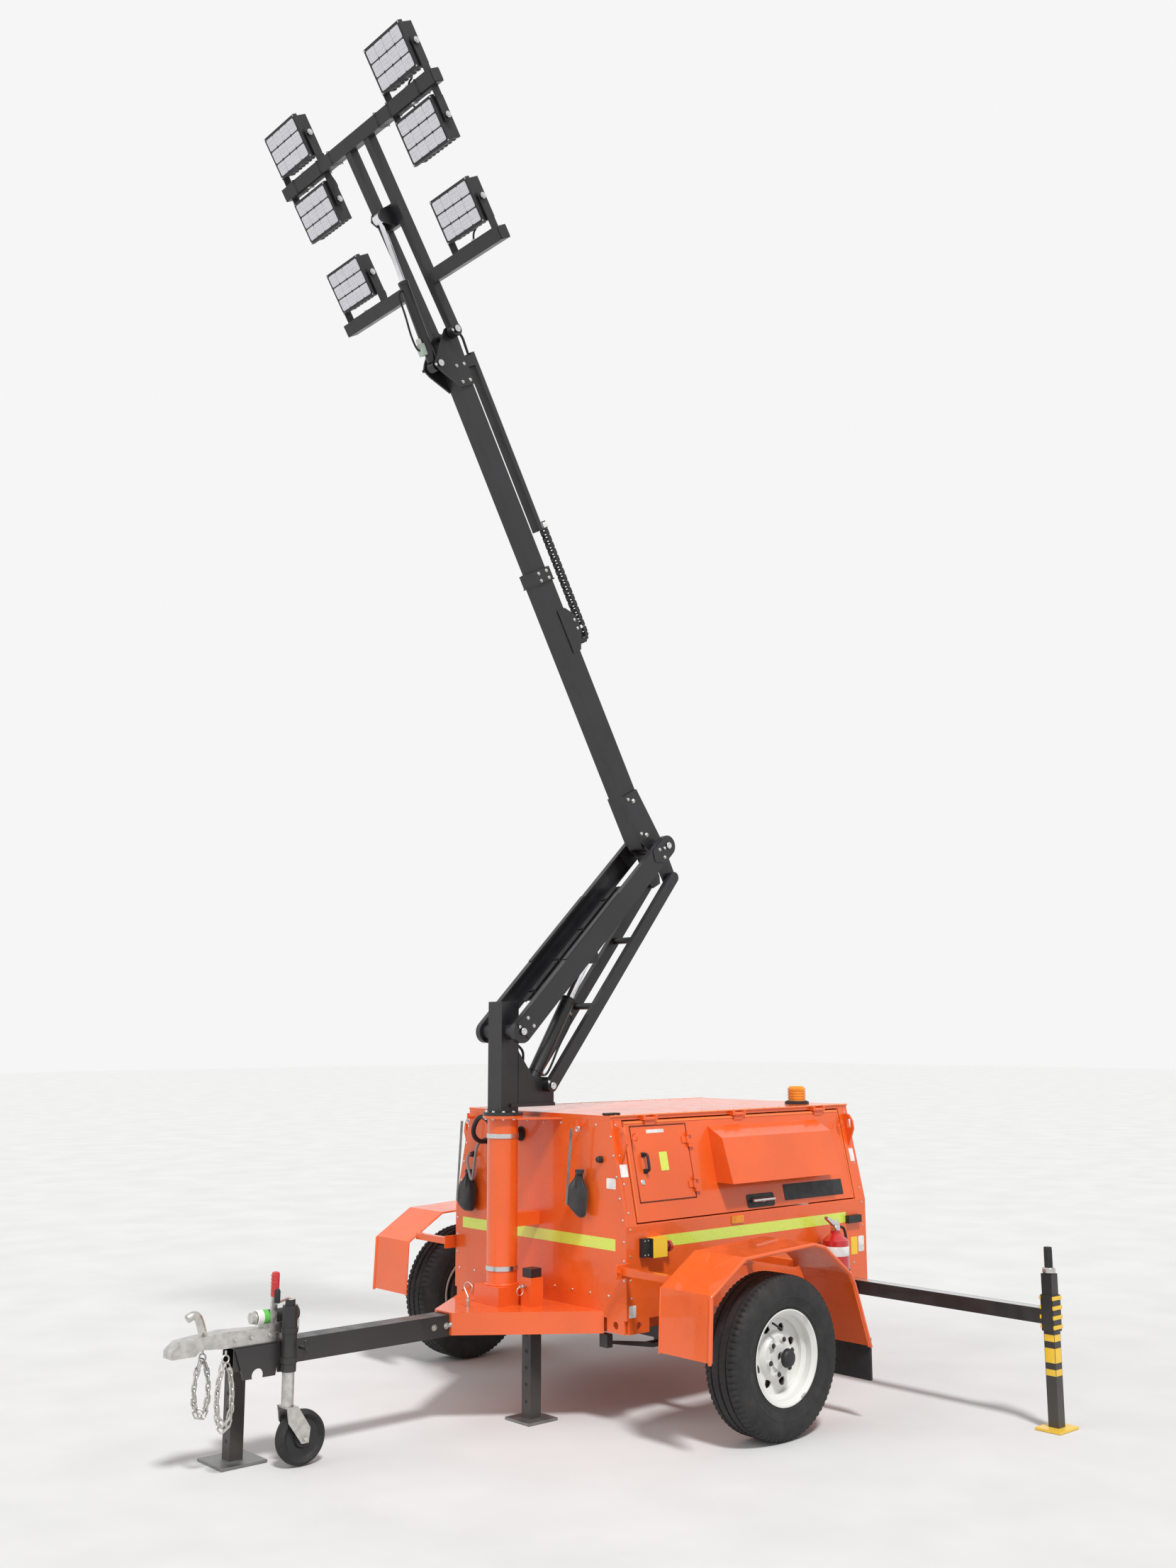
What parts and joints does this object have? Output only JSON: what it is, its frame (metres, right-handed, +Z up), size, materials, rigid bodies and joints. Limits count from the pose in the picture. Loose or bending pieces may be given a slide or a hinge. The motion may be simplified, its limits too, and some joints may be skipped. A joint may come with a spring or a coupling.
{
  "type": "mobile light tower",
  "caption": "Towed light tower: generator canopy, outriggers and a slewing, folding, telescopic boom with a tilting frame of flood lamps.",
  "frame": {"origin": "middle of the footprint box, on the ground", "axes": "+X forward to the coupling, +Y to the trailer's left side, +Z up"},
  "size_m": [3.488, 3.69, 6.0652],
  "materials": {
    "orange_paint": "gloss",
    "black_paint": "satin",
    "white_paint": "gloss",
    "red_paint": "gloss",
    "zinc": "satin",
    "chrome": "polished",
    "tyre_rubber": "matte",
    "black_fabric": "matte",
    "grey_plastic": "matte",
    "grey_metal": "matte",
    "black_plastic": "matte",
    "lamp_metal": "satin"
  },
  "bodies": {
    "trailer": {"axle_suspension": "black_paint", "chassis_frame": "orange_paint", "drawbar": "black_paint", "coupling": "zinc", "front_panel": "orange_paint", "rear_panel": "orange_paint", "left_side_panel": "orange_paint", "right_side_panel": "orange_paint", "roof": "orange_paint", "control_board": "grey_plastic", "generator_set": "grey_metal", "mudguards": "orange_paint", "fire_extinguisher": "red_paint", "lights_and_switches": "grey_plastic", "plug_bags": "black_fabric", "floor_tray": "orange_paint", "mast_post": "orange_paint"},
    "left_wheel": {"left_tyre": "tyre_rubber", "left_rim": "white_paint"},
    "right_wheel": {"right_tyre": "tyre_rubber", "right_rim": "white_paint"},
    "jockey_leg": {"jockey_leg": "zinc"},
    "jockey_fork": {"jockey_fork": "zinc"},
    "jockey_wheel": {"jockey_wheel": "tyre_rubber"},
    "front_stand": {"front_stand": "black_paint"},
    "middle_leg": {"middle_leg": "black_paint"},
    "left_outrigger_arm": {"left_outrigger_arm": "orange_paint"},
    "right_outrigger_arm": {"right_outrigger_arm": "orange_paint"},
    "left_outrigger_leg": {"left_outrigger_leg": "black_paint"},
    "right_outrigger_leg": {"right_outrigger_leg": "black_paint"},
    "left_door": {"left_door": "orange_paint"},
    "right_door": {"right_door": "orange_paint"},
    "control_hatch": {"control_hatch": "orange_paint"},
    "turret": {"turret": "black_paint"},
    "lower_boom": {"lower_boom": "black_paint"},
    "tension_link": {"tension_link": "black_paint"},
    "lift_barrel": {"lift_barrel": "black_paint"},
    "lift_rod": {"lift_rod": "chrome"},
    "upper_boom": {"upper_boom": "black_paint"},
    "chain_bend": {"energy_chain": "black_plastic"},
    "fly_boom": {"fly_boom": "black_paint"},
    "light_frame": {"light_frame": "black_paint", "lamps": "lamp_metal"},
    "tilt_barrel": {"tilt_barrel": "black_paint"},
    "tilt_rod": {"tilt_rod": "chrome"}
  },
  "joints": [
    {"name": "left_wheel_spin", "type": "hinge", "parent": "trailer", "child": "left_wheel", "pos_m": [-0.471, 1.074, 0.333], "axis": [0, 1, 0], "continuous": true},
    {"name": "right_wheel_spin", "type": "hinge", "parent": "trailer", "child": "right_wheel", "pos_m": [-0.471, -1.074, 0.333], "axis": [0, 1, 0], "continuous": true},
    {"name": "jockey_leg_lift", "type": "slide", "parent": "trailer", "child": "jockey_leg", "axis": [0, 0, -1], "range_m": [-0.12, 0]},
    {"name": "jockey_fork_swivel", "type": "hinge", "parent": "jockey_leg", "child": "jockey_fork", "pos_m": [1.269, 0.083, 0], "axis": [0, 0, 1], "continuous": true},
    {"name": "jockey_wheel_spin", "type": "hinge", "parent": "jockey_fork", "child": "jockey_wheel", "pos_m": [1.207, 0.083, 0.105], "axis": [0, 1, 0], "continuous": true},
    {"name": "front_stand_lift", "type": "slide", "parent": "trailer", "child": "front_stand", "axis": [0, 0, -1], "range_m": [-0.348, 0]},
    {"name": "middle_leg_lift", "type": "slide", "parent": "trailer", "child": "middle_leg", "axis": [0, 0, -1], "range_m": [-0.32, 0]},
    {"name": "left_arm_slide", "type": "slide", "parent": "trailer", "child": "left_outrigger_arm", "axis": [0, 1, 0], "range_m": [-0.95, 0]},
    {"name": "left_outrigger_lift", "type": "slide", "parent": "left_outrigger_arm", "child": "left_outrigger_leg", "axis": [0, 0, -1], "range_m": [-0.33, 0]},
    {"name": "right_arm_slide", "type": "slide", "parent": "trailer", "child": "right_outrigger_arm", "axis": [0, -1, 0], "range_m": [-0.95, 0]},
    {"name": "right_outrigger_lift", "type": "slide", "parent": "right_outrigger_arm", "child": "right_outrigger_leg", "axis": [0, 0, -1], "range_m": [-0.33, 0]},
    {"name": "left_door_hinge", "type": "hinge", "parent": "trailer", "child": "left_door", "pos_m": [0, 0.52769, 1.29], "axis": [1, 0, 0], "range_deg": [0, 95]},
    {"name": "right_door_hinge", "type": "hinge", "parent": "trailer", "child": "right_door", "pos_m": [0, -0.52769, 1.29], "axis": [-1, 0, 0], "range_deg": [0, 95]},
    {"name": "control_hatch_hinge", "type": "hinge", "parent": "left_door", "child": "control_hatch", "pos_m": [-0.514, 0.56697, 1.1], "axis": [0, -0.2138, 0.9769], "range_deg": [0, 105]},
    {"name": "turret_slew", "type": "hinge", "parent": "trailer", "child": "turret", "pos_m": [0.136, 0, 0], "axis": [0, 0, 1], "range_deg": [0, 350]},
    {"name": "lower_boom_lift", "type": "hinge", "parent": "turret", "child": "lower_boom", "pos_m": [0.136, 0, 1.68], "axis": [0, 1, 0], "range_deg": [-42, 18]},
    {"name": "upper_boom_fold", "type": "hinge", "parent": "lower_boom", "child": "upper_boom", "pos_m": [-0.80723, 0, 2.61341], "axis": [0, 1, 0], "range_deg": [-37.04, 85.76]},
    {"name": "tension_link_turn", "type": "hinge", "parent": "turret", "child": "tension_link", "pos_m": [-0.079, 0, 1.431], "axis": [0, 1, 0], "range_deg": [-41.7, 18.16]},
    {"name": "lift_barrel_turn", "type": "hinge", "parent": "turret", "child": "lift_barrel", "pos_m": [-0.024, 0, 1.44], "axis": [0, 1, 0], "range_deg": [-38.72, 16.88]},
    {"name": "lift_rod_slide", "type": "slide", "parent": "lift_barrel", "child": "lift_rod", "axis": [-0.5168, 0, 0.8561], "range_m": [-0.2057, 0.0899]},
    {"name": "fly_slide", "type": "slide", "parent": "upper_boom", "child": "fly_boom", "axis": [0.4848, 0, 0.8746], "range_m": [-0.935, 0], "deforming": ["energy_chain"]},
    {"name": "chain_bend_slide", "type": "slide", "parent": "upper_boom", "child": "chain_bend", "axis": [0.4848, 0, 0.8746], "range_m": [-0.4705, 0.003]},
    {"name": "light_frame_tilt", "type": "hinge", "parent": "fly_boom", "child": "light_frame", "pos_m": [0.53155, 0, 5.00181], "axis": [0, -1, 0], "range_deg": [-85, 12]},
    {"name": "tilt_barrel_turn", "type": "hinge", "parent": "fly_boom", "child": "tilt_barrel", "pos_m": [0.59028, 0, 4.82519], "axis": [0, -1, 0], "range_deg": [-81.59, 11.95]},
    {"name": "tilt_rod_slide", "type": "slide", "parent": "tilt_barrel", "child": "tilt_rod", "axis": [0.456, 0, 0.89], "range_m": [-0.2408, 0.0366]}
  ],
  "couplings": [
    {"joint": "chain_bend_slide", "follows": "fly_slide", "ratio": 0.5},
    {"joint": "upper_boom_fold", "follows": "lower_boom_lift", "ratio": -2.03},
    {"joint": "tension_link_turn", "follows": "lower_boom_lift", "ratio": 0.981},
    {"joint": "lift_barrel_turn", "follows": "lower_boom_lift", "ratio": 0.91},
    {"joint": "lift_rod_slide", "follows": "lower_boom_lift", "m_per_rad": 0.2765},
    {"joint": "tilt_barrel_turn", "follows": "light_frame_tilt", "ratio": 0.954},
    {"joint": "tilt_rod_slide", "follows": "light_frame_tilt", "m_per_rad": 0.1603}
  ]
}
